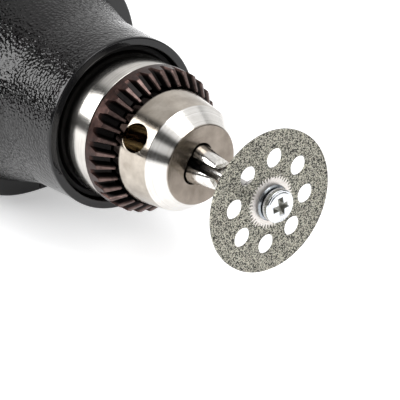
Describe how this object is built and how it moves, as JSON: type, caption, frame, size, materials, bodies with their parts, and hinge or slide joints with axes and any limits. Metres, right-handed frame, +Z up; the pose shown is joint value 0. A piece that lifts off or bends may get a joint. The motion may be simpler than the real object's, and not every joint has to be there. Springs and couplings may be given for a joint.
{
  "type": "rotary hobby tool",
  "caption": "Handheld electric rotary tool with a keyed jaw chuck that grips a mandrel and a perforated diamond cutting disc.",
  "frame": {"origin": "on the floor under the middle of the overall box, the tool lying on its underside", "axes": "+X forward along the spindle to the cutting disc, +Y to the left of someone looking forward, +Z up"},
  "size_m": [0.211, 0.0464, 0.0493],
  "materials": {
    "nose_plastic": "black spark-textured moulding",
    "shell_plastic": "black satin moulding",
    "rubber": "matt black rubber",
    "chuck_steel": "satin turned steel",
    "gear_oxide": "brown oxide steel",
    "jaw_steel": "ground hardened steel",
    "zinc": "bright zinc plate",
    "diamond_grit": "steel sheet plated with diamond grit",
    "black_screw": "black oxide",
    "bearing_steel": "polished steel",
    "shaft_steel": "ground steel",
    "lamination": "varnished laminations",
    "copper": "enamelled copper",
    "fan_nylon": "glass-filled nylon",
    "brass": "pressed brass",
    "carbon": "pressed carbon",
    "board": "green laminate",
    "switch_grey": "dark grey moulding"
  },
  "bodies": {
    "housing": {"nose_housing": "nose_plastic", "dust_ring": "rubber", "housing_left": "shell_plastic", "housing_right": "shell_plastic", "housing_screw_1": "black_screw", "housing_screw_2": "black_screw", "housing_screw_3": "black_screw", "housing_screw_4": "black_screw", "housing_screw_5": "black_screw", "housing_screw_6": "black_screw", "cord_gland": "rubber", "front_bearing_outer": "bearing_steel", "rear_bearing_outer": "bearing_steel", "rear_bearing_seat": "rubber", "field_core": "lamination", "field_coil_left": "copper", "field_coil_right": "copper", "brush_holder_left": "brass", "brush_holder_right": "brass", "brush_spring_left": "bearing_steel", "brush_spring_right": "bearing_steel", "brush_cap_left": "shell_plastic", "brush_cap_right": "shell_plastic", "speed_board": "board", "switch_module": "switch_grey", "speed_potentiometer": "switch_grey"},
    "rotor": {"armature_shaft": "shaft_steel", "armature_core": "lamination", "armature_winding_front": "copper", "armature_winding_rear": "copper", "commutator": "copper", "cooling_fan": "fan_nylon", "front_bearing_inner": "bearing_steel", "rear_bearing_inner": "bearing_steel", "chuck_body": "chuck_steel", "mandrel": "shaft_steel", "cutting_disc": "diamond_grit", "mandrel_washer": "zinc", "mandrel_screw": "zinc"},
    "front_cage": {"front_bearing_cage": "brass"},
    "rear_cage": {"rear_bearing_cage": "brass"},
    "chuck_ring": {"chuck_sleeve": "chuck_steel", "chuck_gear_ring": "gear_oxide", "split_nut_upper": "jaw_steel", "split_nut_lower": "jaw_steel"},
    "jaw_1": {"chuck_jaw_1": "jaw_steel"},
    "jaw_2": {"chuck_jaw_2": "jaw_steel"},
    "jaw_3": {"chuck_jaw_3": "jaw_steel"},
    "slider": {"power_switch": "switch_grey"},
    "dial": {"speed_dial": "switch_grey"},
    "brush_left": {"carbon_brush_left": "carbon"},
    "brush_right": {"carbon_brush_right": "carbon"}
  },
  "joints": [
    {"name": "spindle_spin", "type": "hinge", "parent": "housing", "child": "rotor", "pos_m": [0, 0, 0.0232], "axis": [1, 0, 0], "continuous": true},
    {"name": "front_cage_orbit", "type": "hinge", "parent": "housing", "child": "front_cage", "pos_m": [0.0445, 0, 0.0232], "axis": [1, 0, 0], "continuous": true},
    {"name": "rear_cage_orbit", "type": "hinge", "parent": "housing", "child": "rear_cage", "pos_m": [-0.0345, 0, 0.0232], "axis": [1, 0, 0], "continuous": true},
    {"name": "chuck_sleeve_turn", "type": "hinge", "parent": "rotor", "child": "chuck_ring", "pos_m": [0.0625, 0, 0.0232], "axis": [1, 0, 0], "range_deg": [0, 2580]},
    {"name": "jaw_1_slide", "type": "slide", "parent": "rotor", "child": "jaw_1", "axis": [-0.9816, 0, 0.1908], "range_m": [0, 0.009]},
    {"name": "jaw_2_slide", "type": "slide", "parent": "rotor", "child": "jaw_2", "axis": [-0.9816, -0.1652, -0.0954], "range_m": [0, 0.009]},
    {"name": "jaw_3_slide", "type": "slide", "parent": "rotor", "child": "jaw_3", "axis": [-0.9816, 0.1652, -0.0954], "range_m": [0, 0.009]},
    {"name": "power_switch_slide", "type": "slide", "parent": "housing", "child": "slider", "axis": [1, 0, 0], "range_m": [0, 0.005]},
    {"name": "speed_dial_turn", "type": "hinge", "parent": "housing", "child": "dial", "pos_m": [-0.07, 0, 0.0392], "axis": [0, 1, 0], "range_deg": [0, 270]},
    {"name": "brush_left_slide", "type": "slide", "parent": "housing", "child": "brush_left", "axis": [0, 1, 0], "range_m": [0, 0.003], "stiffness_N_per_m": 100, "springref_m": -0.004, "deforming": ["brush_spring_left"]},
    {"name": "brush_right_slide", "type": "slide", "parent": "housing", "child": "brush_right", "axis": [0, -1, 0], "range_m": [0, 0.003], "stiffness_N_per_m": 100, "springref_m": -0.004, "deforming": ["brush_spring_right"]}
  ],
  "couplings": [
    {"joint": "front_cage_orbit", "follows": "spindle_spin", "ratio": 0.3985},
    {"joint": "rear_cage_orbit", "follows": "spindle_spin", "ratio": 0.3679},
    {"joint": "jaw_1_slide", "follows": "chuck_sleeve_turn", "m_per_rad": 0.00019894},
    {"joint": "jaw_2_slide", "follows": "chuck_sleeve_turn", "m_per_rad": 0.00019894},
    {"joint": "jaw_3_slide", "follows": "chuck_sleeve_turn", "m_per_rad": 0.00019894}
  ]
}
